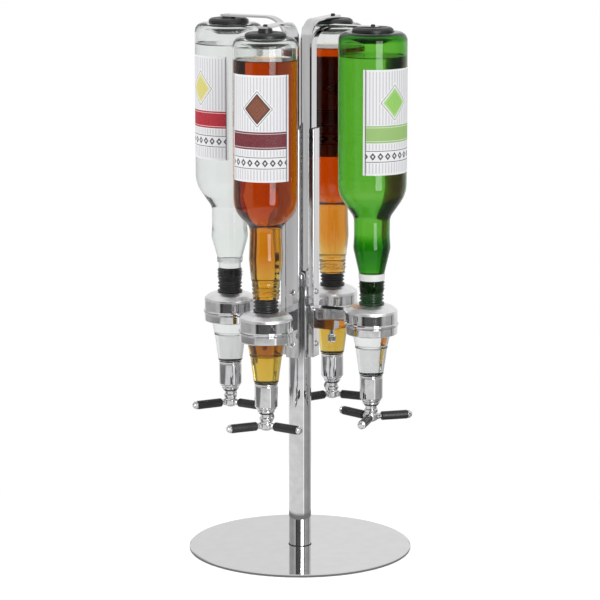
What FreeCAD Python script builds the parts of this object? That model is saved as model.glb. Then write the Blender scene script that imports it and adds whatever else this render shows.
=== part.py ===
import FreeCAD, Part

import math
import os

import Sketcher
from FreeCAD import Placement, Rotation, Vector

# Rotating drinks dispenser: four inverted bottles on a turning head, each over a sprung measure.
# The frame stands on the underside of the base, on the axis of the column, with Z up.
# Station 1 faces -Y, and the others follow anticlockwise. Millimetres and degrees.

STATIONS = (1, 2, 3, 4)
SLIM_STATIONS = (1, 3)
LEVER_ARMS = 3

document = FreeCAD.newDocument("drinks_dispenser")


class Size:
    """A number that remembers the sheet expression it comes from."""

    def __init__(self, number, text):
        self.number = number
        self.text = text

    def __add__(self, other):
        other = as_size(other)
        return Size(self.number + other.number, f"({self.text} + {other.text})")

    def __sub__(self, other):
        other = as_size(other)
        return Size(self.number - other.number, f"({self.text} - {other.text})")

    def __mul__(self, other):
        other = as_size(other)
        return Size(self.number * other.number, f"({self.text} * {other.text})")

    def __truediv__(self, other):
        other = as_size(other)
        return Size(self.number / other.number, f"({self.text} / {other.text})")

    def __neg__(self):
        return Size(-self.number, f"(-1 * {self.text})")


def as_size(value):
    """A plain count or fraction, such as a half, as a Size."""
    return value if isinstance(value, Size) else Size(value, str(value))


class SizeSheet:
    """The sheet of driving sizes. Each size is read back as an attribute of its alias."""

    def __init__(self):
        self.sheet = document.addObject("Spreadsheet::Sheet", "Sizes")
        self.row = 0

    def heading(self, text):
        self.row += 1
        self.sheet.set(f"A{self.row}", text)

    def add(self, alias, number, note):
        self.row += 1
        self.sheet.set(f"A{self.row}", note)
        self.sheet.set(f"B{self.row}", str(number))
        self.sheet.setAlias(f"B{self.row}", alias)
        setattr(self, alias, Size(number, f"Sizes.{alias}"))

    def station(self, stem, number):
        """The size that one station has to itself."""
        return getattr(self, f"{stem}_{number}")


size = SizeSheet()

size.heading("Stand")
size.add("base_radius", 125, "radius of the round base plate")
size.add("base_thickness", 3, "thickness of the base plate")
size.add("base_edge", 0.8, "chamfer round the top edge of the base plate")
size.add("base_screw_radius", 4, "radius of the screw that holds the column")
size.add("base_screw_head", 8, "radius of its countersunk head")
size.add("base_screw_reach", 12, "length of the screw inside the column")
size.add("column_radius", 12.5, "outer radius of the column tube")
size.add("column_wall", 1.5, "wall of the column tube")
size.add("column_top", 296, "height of the column's upper end")
size.add("foot_plug", 16, "height of the plug welded into the foot of the tube")
size.add("head_plug", 12, "height of the plug welded into the top of the tube")
size.add("stud_radius", 4, "radius of the pivot stud on the column")
size.add("stud_length", 15, "length of the pivot stud above the column")
size.add("washer_inset", 0.5, "step from the column's side in to the thrust washer")
size.add("washer_thickness", 1.2, "thickness of the thrust washer")
size.add("nut_flats", 13, "width across the flats of the domed pivot nut")
size.add("nut_height", 7.5, "height of the hexagon of the pivot nut")
size.add("nut_cap_height", 7.5, "height of the closed cap on the pivot nut")
size.add("nut_cap_inset", 0.7, "step from the flats in to that cap")

size.heading("Clearances")
size.add("running_gap", 0.05, "radial gap of the head on the column and its stud")
size.add("face_gap", 0.3, "gap between the pivot nut and the head")
size.add("screw_gap", 0.1, "radial gap round a screw in its hole")
size.add("slide_gap", 0.3, "gap round a sliding piece, and of a pad in its bottle")
size.add("stopper_gap", 0.05, "radial gap of the stopper in the bottle mouth")

size.heading("Turning head")
size.add("hub_wall", 1.35, "wall of the hub sleeve")
size.add("hub_depth", 66, "depth of the hub's lower end below the column's top")
size.add("hub_roof", 4.5, "thickness of the hub's closed top")
size.add("lobe_width", 10.6, "width of each lobe that carries a rail")
size.add("rail_inset", 0.5, "reach of the rails' inner edges inside the hub's radius")
size.add("rail_width", 16, "width of a rail")
size.add("rail_depth", 6.8, "depth of a rail over its side walls")
size.add("rail_sheet", 1.2, "thickness of the rail's sheet")
size.add("rail_lip", 2.5, "width of the lips that keep the bar in its rail")
size.add("rail_bend", 1, "radius outside the bends of a rail")
size.add("rail_drop", 73.6, "depth of the rails' lower ends below the column's top")
size.add("rail_length", 256.1, "length of a rail")
size.add("glide_rise", 112.6, "height of the glide strips above the rails' lower ends")
size.add("glide_length", 130, "length of a glide strip")
size.add("glide_width", 9, "width of a glide strip")

size.heading("Lifting arms")
size.add("arm_thickness", 2.2, "thickness of the flat bar")
size.add("arm_lift", 13.3, "height of the bars' lower ends above the hub")
size.add("arm_bend", 25, "outer radius of the bend of the bar")
size.add("arm_overhang", 7, "length of the bar past the bottle's axis")
size.add("pad_gap", 2.2, "gap from a pad to the side of the hollow it sits in")
size.add("pad_rise", 3, "height of a pad's top above the bottle's rim")
size.add("boss_radius", 7.5, "radius of the boss between pad and bar")
size.add("boss_height_1", 6.4, "height of that boss, station 1")
size.add("boss_height_2", 0.8, "height of that boss, station 2")
size.add("boss_height_3", 3.3, "height of that boss, station 3")
size.add("boss_height_4", 3.9, "height of that boss, station 4")

size.heading("Bottles")
size.add("station_radius", 87.2, "distance of the bottles' axes from the column")
size.add("mouth_rise", 4.7, "height of the bottle mouths above the column's top")
size.add("bottle_height_1", 285.4, "height of the bottle, station 1")
size.add("bottle_height_2", 287, "height of the bottle, station 2")
size.add("bottle_height_3", 285.8, "height of the bottle, station 3")
size.add("bottle_height_4", 290.2, "height of the bottle, station 4")
size.add("slim_body", 35.5, "body radius of the slim bottles, stations 1 and 3")
size.add("slim_shoulder", 22.7, "length of the slim bottle's shoulder")
size.add("slim_neck", 17.2, "neck radius of the slim bottles")
size.add("slim_neck_length", 79.6, "length of the slim bottle from its mouth to its shoulder")
size.add("slim_finish", 15.2, "radius of the screw finish of the slim bottles")
size.add("slim_finish_length", 20, "length of that finish")
size.add("wide_body", 38, "body radius of the wide bottles, stations 2 and 4")
size.add("wide_shoulder", 26.5, "length of the wide bottle's shoulder")
size.add("wide_neck", 19.8, "neck radius of the wide bottles")
size.add("wide_neck_length", 83.5, "length of the wide bottle from its mouth to its shoulder")
size.add("wide_finish", 14.4, "radius of the screw finish of the wide bottles")
size.add("wide_finish_length", 21.3, "length of that finish")
size.add("wide_throat", 14, "radius of the wide bottle's neck above its finish")
size.add("wide_throat_length", 24, "length of the cone from the throat to the neck")
size.add("heel_chamfer", 3, "chamfer at the edge of a bottle's base")
size.add("punt_radius", 24.5, "radius of the hollow in a bottle's base")
size.add("punt_depth", 6, "depth of that hollow")
size.add("glass_wall", 3, "thickness of the glass")
size.add("glass_base", 5, "thickness of the glass under the hollow")
size.add("bore_radius", 9.5, "radius of the bore of a bottle mouth")

size.heading("Measures")
size.add("stopper_radius", 14.5, "radius of the ribbed part of a stopper")
size.add("stopper_height", 13.3, "height of the ribbed part of a stopper")
size.add("stopper_plug", 15, "length of the plug in the bottle mouth")
size.add("ring_radius", 28.7, "radius of a bracket ring")
size.add("ring_slope", 7, "fall of the ring's top from the stopper to its rim")
size.add("ring_height", 16.1, "height of the ring's side")
size.add("ring_lip", 1.2, "width of the lip round the foot of the ring")
size.add("ring_lip_height", 2.8, "height of that lip")
size.add("bracket_width", 14.4, "width of a bracket arm")
size.add("bracket_drop", 3.1, "depth of a bracket arm's top below the rim of its ring")
size.add("block_depth", 8.8, "depth of the block at the rail, below the foot of the ring")
size.add("block_share", 0.63, "share of the way from rail to lock ring that the block fills")
size.add("lock_ring_radius", 28.8, "radius of the screwed ring under a bracket")
size.add("lock_ring_height", 10.3, "height of that ring")
size.add("clamp_screw_radius", 4.75, "radius of a clamp screw")
size.add("clamp_screw_length", 15.5, "length of a clamp screw")
size.add("clamp_screw_inset", 5.2, "distance of a clamp screw's axis from the end of its block")
size.add("chamber_top", 20.8, "radius of a measure chamber at its top")
size.add("chamber_line", 17.7, "radius of the chamber at its measure line")
size.add("chamber_foot", 13.6, "radius of the chamber at its foot")
size.add("chamber_height", 46.1, "height of a chamber")
size.add("chamber_line_drop", 15, "depth of the measure line below the top")
size.add("chamber_wall", 2.2, "least wall of a chamber, and its floor")
size.add("barrel_radius", 12.7, "radius of a valve barrel")
size.add("barrel_height", 33, "height of a valve barrel")
size.add("barrel_taper", 6.5, "height of the taper at its foot")
size.add("barrel_bore_depth", 14, "depth of the bore that guides the lever hub")
size.add("barrel_mouth_wall", 0.8, "wall of the barrel at the mouth of its bore")
size.add("lever_hub_radius", 7.8, "radius of a lever hub")
size.add("lever_hub_length", 20.3, "length of the hub that shows below the barrel")
size.add("lever_hub_entry", 2, "length of the hub that stays in the barrel")
size.add("lever_rod_rise", 5.3, "height of the axes of the rods above the hub's underside")
size.add("lever_rod_radius", 3, "radius of a lever rod")
size.add("grip_radius", 4.9, "radius of the sleeve on a lever rod")
size.add("grip_start", 12.3, "distance of a sleeve from the axis of its measure")
size.add("grip_end", 47, "distance of a sleeve's end from that axis")
size.add("lever_turn_1", 80, "turn of the levers about their axis, station 1")
size.add("lever_turn_2", 40, "turn of the levers about their axis, station 2")
size.add("lever_turn_3", 31, "turn of the levers about their axis, station 3")
size.add("lever_turn_4", 53, "turn of the levers about their axis, station 4")

# Heights and radii that follow from how the pieces stand on each other

washer_top = size.column_top + size.washer_thickness
hub_top = washer_top + size.hub_roof
hub_bottom = size.column_top - size.hub_depth
hub_radius = size.column_radius + size.running_gap + size.hub_wall
rail_bottom = size.column_top - size.rail_drop
rail_edge = hub_radius - size.rail_inset
rail_face = rail_edge + size.rail_depth
rail_back = rail_face - size.rail_sheet
arm_bottom = hub_top + size.arm_lift
arm_inner = rail_edge + size.rail_sheet + size.slide_gap
arm_outer = arm_inner + size.arm_thickness
arm_width = size.rail_width - (size.rail_sheet + size.slide_gap) * 2
mouth_height = size.column_top + size.mouth_rise
stopper_foot = mouth_height - size.stopper_height
ring_rim = stopper_foot - size.ring_slope
ring_foot = ring_rim - size.ring_height
lock_ring_foot = ring_foot - size.lock_ring_height
block_foot = ring_foot - size.block_depth
block_reach = (size.station_radius - size.lock_ring_radius - rail_face) * size.block_share
chamber_floor = lock_ring_foot - size.chamber_height
barrel_foot = chamber_floor - size.barrel_height
barrel_bore = size.lever_hub_radius + size.slide_gap
lever_foot = barrel_foot - size.lever_hub_length
rod_height = lever_foot + size.lever_rod_rise

sub_parts = {}


def station_angle(number):
    """Direction of a station from the column, with station 2 on the X axis."""
    return (number - 2) * 360 / len(STATIONS)


def bottle_top(number):
    """Height of the rim round a bottle's upturned base."""
    return mouth_height + size.station("bottle_height", number)


def arm_underside(number):
    """Height of the underside of a bar, on the boss of its pad."""
    return bottle_top(number) + size.pad_rise + size.station("boss_height", number)


def new_body(label):
    body = document.addObject("PartDesign::Body", label)
    body.Label = label
    return body


def origin_feature(body, role):
    return next(item for item in body.Origin.OriginFeatures if item.Role == role)


def bind(item, name, value):
    """Set a property, or a sketch constraint, from a Size."""
    item.setExpression(name, value.text)


def new_sketch(body, plane, offset=None):
    """An empty sketch on one of the body's own planes, or at an offset from it."""
    sketch = body.newObject("Sketcher::SketchObject", "Outline")
    sketch.AttachmentSupport = [(origin_feature(body, plane), "")]
    sketch.MapMode = "FlatFace"
    if offset is not None:
        sketch.AttachmentOffset = Placement(Vector(0, 0, offset.number), Rotation())
        bind(sketch, "AttachmentOffset.Base.z", offset)
    return sketch


def hold_point(sketch, edge, end, across, along):
    """Hold one point of a sketch at its two distances from the sketch's origin."""
    for kind, value in (("DistanceX", across), ("DistanceY", along)):
        index = sketch.addConstraint(Sketcher.Constraint(kind, -1, 1, edge, end, value.number))
        bind(sketch, f"Constraints[{index}]", value)


def draw_outline(sketch, corners):
    """Draw a closed outline through corners, each held by its two sizes."""
    corners = [(as_size(across), as_size(along)) for across, along in corners]
    points = [Vector(across.number, along.number, 0) for across, along in corners]
    count = len(points)
    for index, point in enumerate(points):
        sketch.addGeometry(Part.LineSegment(point, points[(index + 1) % count]), False)
    for index in range(count):
        following = (index + 1) % count
        sketch.addConstraint(Sketcher.Constraint("Coincident", index, 2, following, 1))
    for index, (across, along) in enumerate(corners):
        hold_point(sketch, index, 1, across, along)


def draw_circle(sketch, radius, across, along):
    """Draw a circle with its centre and radius held by their sizes."""
    centre = Vector(across.number, along.number, 0)
    edge = sketch.addGeometry(Part.Circle(centre, Vector(0, 0, 1), radius.number), False)
    hold_point(sketch, edge, 3, across, along)
    index = sketch.addConstraint(Sketcher.Constraint("Radius", edge, radius.number))
    bind(sketch, f"Constraints[{index}]", radius)


def turn(body, corners, cut=False):
    """Turn an outline of radii and heights about the body's vertical axis."""
    sketch = new_sketch(body, "XZ_Plane")
    draw_outline(sketch, corners)
    kind = "PartDesign::Groove" if cut else "PartDesign::Revolution"
    feature = body.newObject(kind, "Turned")
    feature.Profile = sketch
    feature.ReferenceAxis = (sketch, ["V_Axis"])
    feature.Angle = 360
    sketch.Visibility = False
    return feature


def extrude(body, sketch, length, midplane=False, cut=False, backwards=False):
    """Pad or pocket a sketch along its normal."""
    kind = "PartDesign::Pocket" if cut else "PartDesign::Pad"
    feature = body.newObject(kind, "Extruded")
    feature.Profile = sketch
    feature.Length = length.number
    bind(feature, "Length", length)
    feature.Midplane = midplane
    feature.Reversed = backwards
    sketch.Visibility = False
    return feature


def repeat_round(body, feature, count):
    """Repeat a feature evenly about the body's vertical axis."""
    pattern = body.newObject("PartDesign::PolarPattern", "Repeated")
    pattern.Originals = [feature]
    pattern.Axis = (origin_feature(body, "Z_Axis"), [""])
    pattern.Angle = 360
    pattern.Occurrences = count
    body.Tip = pattern
    return pattern


def edges_where(feature, chosen):
    """Names of the edges whose middle point passes the test."""
    names = []
    for index, edge in enumerate(feature.Shape.Edges, 1):
        middle = edge.valueAt((edge.FirstParameter + edge.LastParameter) / 2)
        if chosen(middle):
            names.append(f"Edge{index}")
    if not names:
        raise ValueError(f"{feature.Name} has no such edge")
    return names


def dress(body, kind, feature, property_name, value, chosen):
    """Fillet or chamfer the chosen edges of a feature."""
    document.recompute()
    dressing = body.newObject(kind, "Dressed")
    dressing.Base = (feature, edges_where(feature, chosen))
    setattr(dressing, property_name, value.number)
    bind(dressing, property_name, value)
    return dressing


def near(first, second):
    """True where two lengths agree to a hundredth of a millimetre."""
    return abs(first - second) < 0.01


def ring_edge(radius, height):
    """Test for the round edge of a given radius at a given height."""
    def chosen(middle):
        return near(math.hypot(middle.x, middle.y), radius.number) and near(middle.z, height.number)
    return chosen


def stand_at(item, number, distance, turned=None):
    """Put an item at its station: at a distance from the column and facing outwards."""
    angle = as_size(station_angle(number))
    direction = math.radians(angle.number)
    facing = angle if turned is None else angle + turned
    base = Vector(distance.number * round(math.cos(direction)),
                  distance.number * round(math.sin(direction)), 0)
    item.Placement = Placement(base, Rotation(Vector(0, 0, 1), facing.number))
    bind(item, "Placement.Base.x", distance * round(math.cos(direction)))
    bind(item, "Placement.Base.y", distance * round(math.sin(direction)))
    bind(item, "Placement.Rotation.Angle", facing)


def keep(item):
    """List an item as a sub-part, under its label."""
    sub_parts[item.Label] = item


def group(label, bodies):
    """Keep alike bodies together as one sub-part of separate solids."""
    compound = document.addObject("Part::Compound", label)
    compound.Label = label
    compound.Links = bodies
    keep(compound)


# Stand

def make_base_plate():
    body = new_body("base_plate")
    hole = size.base_screw_radius + size.screw_gap
    head = size.base_screw_head + size.screw_gap
    plate = turn(body, [
        (head, 0),
        (size.base_radius, 0),
        (size.base_radius, size.base_thickness),
        (hole, size.base_thickness),
    ])
    top_edge = ring_edge(size.base_radius, size.base_thickness)
    dress(body, "PartDesign::Chamfer", plate, "Size", size.base_edge, top_edge)
    keep(body)


def make_base_screw():
    body = new_body("base_screw")
    tip = size.base_thickness + size.base_screw_reach
    turn(body, [
        (0, 0),
        (size.base_screw_head, 0),
        (size.base_screw_radius, size.base_thickness),
        (size.base_screw_radius, tip),
        (0, tip),
    ])
    keep(body)


def make_column():
    """The tube with the plugs that are welded into both of its ends."""
    body = new_body("column")
    foot = size.base_thickness
    hole = size.base_screw_radius + size.screw_gap
    hole_top = foot + size.base_screw_reach + size.screw_gap
    stud_top = size.column_top + size.stud_length
    turn(body, [
        (hole, foot),
        (size.column_radius, foot),
        (size.column_radius, size.column_top),
        (size.stud_radius, size.column_top),
        (size.stud_radius, stud_top),
        (0, stud_top),
        (0, hole_top),
        (hole, hole_top),
    ])
    inner = size.column_radius - size.column_wall
    turn(body, [
        (0, foot + size.foot_plug),
        (inner, foot + size.foot_plug),
        (inner, size.column_top - size.head_plug),
        (0, size.column_top - size.head_plug),
    ], cut=True)
    keep(body)


def make_thrust_washer():
    body = new_body("thrust_washer")
    bore = size.stud_radius + size.running_gap
    rim = size.column_radius - size.washer_inset
    turn(body, [
        (bore, size.column_top),
        (rim, size.column_top),
        (rim, washer_top),
        (bore, washer_top),
    ])
    keep(body)


def make_pivot_nut():
    """Hexagon with a closed cap, which keeps the head on its stud."""
    body = new_body("pivot_nut")
    foot = hub_top + size.face_gap
    shoulder = foot + size.nut_height
    sketch = new_sketch(body, "XY_Plane", foot)
    corner = size.nut_flats / as_size(math.sqrt(3))
    half_flat = size.nut_flats / 2
    half_side = corner / 2
    draw_outline(sketch, [
        (corner, 0),
        (half_side, half_flat),
        (-half_side, half_flat),
        (-corner, 0),
        (-half_side, -half_flat),
        (half_side, -half_flat),
    ])
    extrude(body, sketch, size.nut_height)
    cap = half_flat - size.nut_cap_inset
    turn(body, [
        (0, shoulder - size.nut_height / 2),
        (cap, shoulder - size.nut_height / 2),
        (cap, shoulder + size.nut_cap_height),
        (0, shoulder + size.nut_cap_height),
    ])
    bore = size.stud_radius + size.screw_gap
    bore_top = size.column_top + size.stud_length + size.screw_gap
    turn(body, [
        (0, foot - size.face_gap),
        (bore, foot - size.face_gap),
        (bore, bore_top),
        (0, bore_top),
    ], cut=True)
    keep(body)


# Turning head

def make_head_hub():
    """Sleeve that turns on the column, with a lobe behind each rail."""
    body = new_body("head_hub")
    turn(body, [
        (0, hub_bottom),
        (hub_radius, hub_bottom),
        (hub_radius, hub_top),
        (0, hub_top),
    ])
    sketch = new_sketch(body, "XY_Plane", hub_bottom)
    half_width = size.lobe_width / 2
    draw_outline(sketch, [
        (size.column_radius, -half_width),
        (rail_back, -half_width),
        (rail_back, half_width),
        (size.column_radius, half_width),
    ])
    lobe = extrude(body, sketch, hub_top - hub_bottom)
    repeat_round(body, lobe, len(STATIONS))
    bore = size.column_radius + size.running_gap
    stud_bore = size.stud_radius + size.running_gap
    under_foot = hub_bottom - size.face_gap
    over_top = hub_top + size.face_gap
    turn(body, [
        (0, under_foot),
        (bore, under_foot),
        (bore, washer_top),
        (stud_bore, washer_top),
        (stud_bore, over_top),
        (0, over_top),
    ], cut=True)
    keep(body)


def make_rail(number):
    """Sheet channel with lips, open towards the column."""
    body = new_body(f"rail_{number}")
    sketch = new_sketch(body, "XY_Plane", rail_bottom)
    half = size.rail_width / 2
    inside = half - size.rail_sheet
    lip = half - size.rail_lip
    lip_back = rail_edge + size.rail_sheet
    one_side = [
        (rail_face, half),
        (rail_edge, half),
        (rail_edge, lip),
        (lip_back, lip),
        (lip_back, inside),
        (rail_back, inside),
    ]
    other_side = [(across, -along) for across, along in reversed(one_side)]
    draw_outline(sketch, one_side + other_side)
    channel = extrude(body, sketch, size.rail_length)
    half_way = rail_bottom + size.rail_length / 2

    def outer_bend(middle):
        on_corner = near(middle.x, rail_face.number) or near(middle.x, rail_edge.number)
        on_side = near(abs(middle.y), half.number)
        return on_corner and on_side and near(middle.z, half_way.number)

    dress(body, "PartDesign::Fillet", channel, "Radius", size.rail_bend, outer_bend)
    stand_at(body, number, as_size(0))
    keep(body)


def make_glide_strips():
    """Plastic strips in the rails, between the web and the sliding bar."""
    body = new_body("glide_strips")
    sketch = new_sketch(body, "XY_Plane", rail_bottom + size.glide_rise)
    half = size.glide_width / 2
    near_side = arm_outer + size.slide_gap
    draw_outline(sketch, [
        (near_side, -half),
        (rail_back, -half),
        (rail_back, half),
        (near_side, half),
    ])
    strip = extrude(body, sketch, size.glide_length)
    repeat_round(body, strip, len(STATIONS))
    keep(body)


# Lifting arms

def make_arm(number):
    """Flat bar that slides in its rail and bends out over the bottle."""
    body = new_body(f"arm_{number}")
    underside = arm_underside(number)
    top = underside + size.arm_thickness
    end = size.station_radius + size.arm_overhang
    sketch = new_sketch(body, "XZ_Plane")
    draw_outline(sketch, [
        (arm_inner, arm_bottom),
        (arm_outer, arm_bottom),
        (arm_outer, underside),
        (end, underside),
        (end, top),
        (arm_inner, top),
    ])
    bar = extrude(body, sketch, arm_width, midplane=True)
    inner_bend = size.arm_bend - size.arm_thickness

    def outer_corner(middle):
        return near(middle.x, arm_inner.number) and near(middle.z, top.number)

    def inner_corner(middle):
        return near(middle.x, arm_outer.number) and near(middle.z, underside.number)

    bar = dress(body, "PartDesign::Fillet", bar, "Radius", size.arm_bend, outer_corner)
    dress(body, "PartDesign::Fillet", bar, "Radius", inner_bend, inner_corner)
    stand_at(body, number, as_size(0))
    keep(body)


def make_pad(number):
    """Rubber pad that presses into the hollow of the bottle's base."""
    body = new_body(f"pad_{number}")
    foot = bottle_top(number) - size.punt_depth + size.slide_gap
    radius = size.punt_radius - size.pad_gap
    pad_top = bottle_top(number) + size.pad_rise
    turn(body, [
        (0, foot),
        (radius, foot),
        (radius, pad_top),
        (size.boss_radius, pad_top),
        (size.boss_radius, arm_underside(number)),
        (0, arm_underside(number)),
    ])
    stand_at(body, number, size.station_radius)
    keep(body)


# Bottles

def bottle_corners(number):
    """Outline of the outside of a bottle from its mouth up to the end of its shoulder."""
    if number in SLIM_STATIONS:
        finish_top = mouth_height + size.slim_finish_length
        neck_top = mouth_height + size.slim_neck_length
        return [
            (size.slim_finish, mouth_height),
            (size.slim_finish, finish_top),
            (size.slim_neck, finish_top),
            (size.slim_neck, neck_top),
            (size.slim_body, neck_top + size.slim_shoulder),
        ]
    finish_top = mouth_height + size.wide_finish_length
    neck_top = mouth_height + size.wide_neck_length
    return [
        (size.wide_finish, mouth_height),
        (size.wide_finish, finish_top),
        (size.wide_throat, finish_top),
        (size.wide_neck, finish_top + size.wide_throat_length),
        (size.wide_neck, neck_top),
        (size.wide_body, neck_top + size.wide_shoulder),
    ]


def make_bottle(number):
    """Inverted glass bottle, hollow, with its mouth down and a hollow in its base."""
    body = new_body(f"bottle_{number}")
    corners = bottle_corners(number)
    radius, shoulder_top = corners[-1]
    rim = bottle_top(number)
    punt_floor = rim - size.punt_depth
    outside = turn(body, [(0, mouth_height)] + corners + [
        (radius, rim),
        (size.punt_radius, rim),
        (size.punt_radius, punt_floor),
        (0, punt_floor),
    ])
    dress(body, "PartDesign::Chamfer", outside, "Size", size.heel_chamfer, ring_edge(radius, rim))
    inside = radius - size.glass_wall
    under_mouth = mouth_height - size.face_gap
    base_floor = punt_floor - size.glass_base
    turn(body, [
        (0, under_mouth),
        (size.bore_radius, under_mouth),
        (size.bore_radius, shoulder_top),
        (inside, shoulder_top),
        (inside, base_floor),
        (0, base_floor),
    ], cut=True)
    stand_at(body, number, size.station_radius)
    keep(body)


# Measures

def make_stopper(number):
    """Rubber stopper: a plug in the bottle mouth and its wider outer part."""
    body = new_body(f"stopper_{number}")
    plug = size.bore_radius - size.stopper_gap
    plug_top = mouth_height + size.stopper_plug
    turn(body, [
        (0, stopper_foot),
        (size.stopper_radius, stopper_foot),
        (size.stopper_radius, mouth_height),
        (plug, mouth_height),
        (plug, plug_top),
        (0, plug_top),
    ])
    stand_at(body, number, size.station_radius)
    return body


def make_bracket(number):
    """Arm from the rail with the ring that carries a measure."""
    body = new_body(f"bracket_{number}")
    lip = size.ring_radius + size.ring_lip
    lip_top = ring_foot + size.ring_lip_height
    turn(body, [
        (0, ring_foot),
        (lip, ring_foot),
        (lip, lip_top),
        (size.ring_radius, lip_top),
        (size.ring_radius, ring_rim),
        (size.stopper_radius, stopper_foot),
        (0, stopper_foot),
    ])
    sketch = new_sketch(body, "XZ_Plane")
    back = rail_face - size.station_radius
    step = back + block_reach
    arm_top = ring_rim - size.bracket_drop
    draw_outline(sketch, [
        (back, block_foot),
        (step, block_foot),
        (step, ring_foot),
        (-size.stopper_radius, ring_foot),
        (-size.stopper_radius, arm_top),
        (back, arm_top),
    ])
    extrude(body, sketch, size.bracket_width, midplane=True)
    stand_at(body, number, size.station_radius)
    return body


def make_clamp_screws():
    """Clamp screws that hang under the bracket arms."""
    body = new_body("clamp_screws")
    distance = rail_face + block_reach - size.clamp_screw_inset
    sketch = new_sketch(body, "XY_Plane", block_foot - size.clamp_screw_length)
    draw_circle(sketch, size.clamp_screw_radius, distance, as_size(0))
    screw = extrude(body, sketch, size.clamp_screw_length)
    repeat_round(body, screw, len(STATIONS))
    keep(body)


def make_lock_ring(number):
    body = new_body(f"lock_ring_{number}")
    turn(body, [
        (0, lock_ring_foot),
        (size.lock_ring_radius, lock_ring_foot),
        (size.lock_ring_radius, ring_foot),
        (0, ring_foot),
    ])
    stand_at(body, number, size.station_radius)
    return body


def make_chamber(number):
    """Clear conical chamber that holds one measure, with a bore that steps in at its line."""
    body = new_body(f"chamber_{number}")
    line = lock_ring_foot - size.chamber_line_drop
    upper_bore = size.chamber_line - size.chamber_wall
    lower_bore = size.chamber_foot - size.chamber_wall
    turn(body, [
        (0, chamber_floor),
        (size.chamber_foot, chamber_floor),
        (size.chamber_line, line),
        (size.chamber_top, lock_ring_foot),
        (upper_bore, lock_ring_foot),
        (upper_bore, line),
        (lower_bore, line),
        (lower_bore, chamber_floor + size.chamber_wall),
        (0, chamber_floor + size.chamber_wall),
    ])
    stand_at(body, number, size.station_radius)
    return body


def make_barrel(number):
    """Valve barrel with the bore that guides the lever hub."""
    body = new_body(f"barrel_{number}")
    taper_top = barrel_foot + size.barrel_taper
    bore_top = barrel_foot + size.barrel_bore_depth
    turn(body, [
        (barrel_bore, barrel_foot),
        (barrel_bore + size.barrel_mouth_wall, barrel_foot),
        (size.barrel_radius, taper_top),
        (size.barrel_radius, chamber_floor),
        (0, chamber_floor),
        (0, bore_top),
        (barrel_bore, bore_top),
    ])
    stand_at(body, number, size.station_radius)
    return body


def make_lever(number):
    """Hub with three radial rods, which the glass pushes up."""
    body = new_body(f"lever_{number}")
    hub_end = barrel_foot + size.lever_hub_entry
    turn(body, [
        (0, lever_foot),
        (size.lever_hub_radius, lever_foot),
        (size.lever_hub_radius, hub_end),
        (0, hub_end),
    ])
    sketch = new_sketch(body, "YZ_Plane")
    draw_circle(sketch, size.lever_rod_radius, as_size(0), rod_height)
    rod = extrude(body, sketch, size.grip_start)
    repeat_round(body, rod, LEVER_ARMS)
    stand_at(body, number, size.station_radius, size.station("lever_turn", number))
    keep(body)


def make_lever_grips(number):
    """Sleeves on the three rods of a lever."""
    body = new_body(f"lever_grips_{number}")
    sketch = new_sketch(body, "YZ_Plane", size.grip_start)
    draw_circle(sketch, size.grip_radius, as_size(0), rod_height)
    grip = extrude(body, sketch, size.grip_end - size.grip_start)
    repeat_round(body, grip, LEVER_ARMS)
    stand_at(body, number, size.station_radius, size.station("lever_turn", number))
    keep(body)


def check_document():
    """Stop unless every object was rebuilt and every sub-part is a sound solid."""
    for item in document.Objects:
        faults = {"Invalid", "Error"} & set(item.State)
        if faults:
            raise RuntimeError(f"{item.Label}: {faults}")
    for label, item in sub_parts.items():
        if item.Shape.isNull() or not item.Shape.isValid() or not item.Shape.Solids:
            raise RuntimeError(f"{label} has no valid shape")


def export_parts():
    """Write each sub-part's solids to its own file."""
    os.makedirs("parts", exist_ok=True)
    for label, item in sub_parts.items():
        item.Shape.exportStep(f"parts/{label}.step")
        print(f"{label}: {len(item.Shape.Solids)} solids, {item.Shape.Volume:.0f} mm3")


make_base_plate()
make_base_screw()
make_column()
make_thrust_washer()
make_pivot_nut()
make_head_hub()
make_glide_strips()
make_clamp_screws()
for station in STATIONS:
    make_rail(station)
    make_arm(station)
    make_pad(station)
    make_bottle(station)
    make_lever(station)
    make_lever_grips(station)
group("brackets", [make_bracket(station) for station in STATIONS])
group("stoppers", [make_stopper(station) for station in STATIONS])
group("lock_rings", [make_lock_ring(station) for station in STATIONS])
group("chambers", [make_chamber(station) for station in STATIONS])
group("barrels", [make_barrel(station) for station in STATIONS])
document.recompute()
check_document()
export_parts()
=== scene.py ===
import math

import bmesh
import bpy
from mathutils import Matrix, Vector


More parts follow.
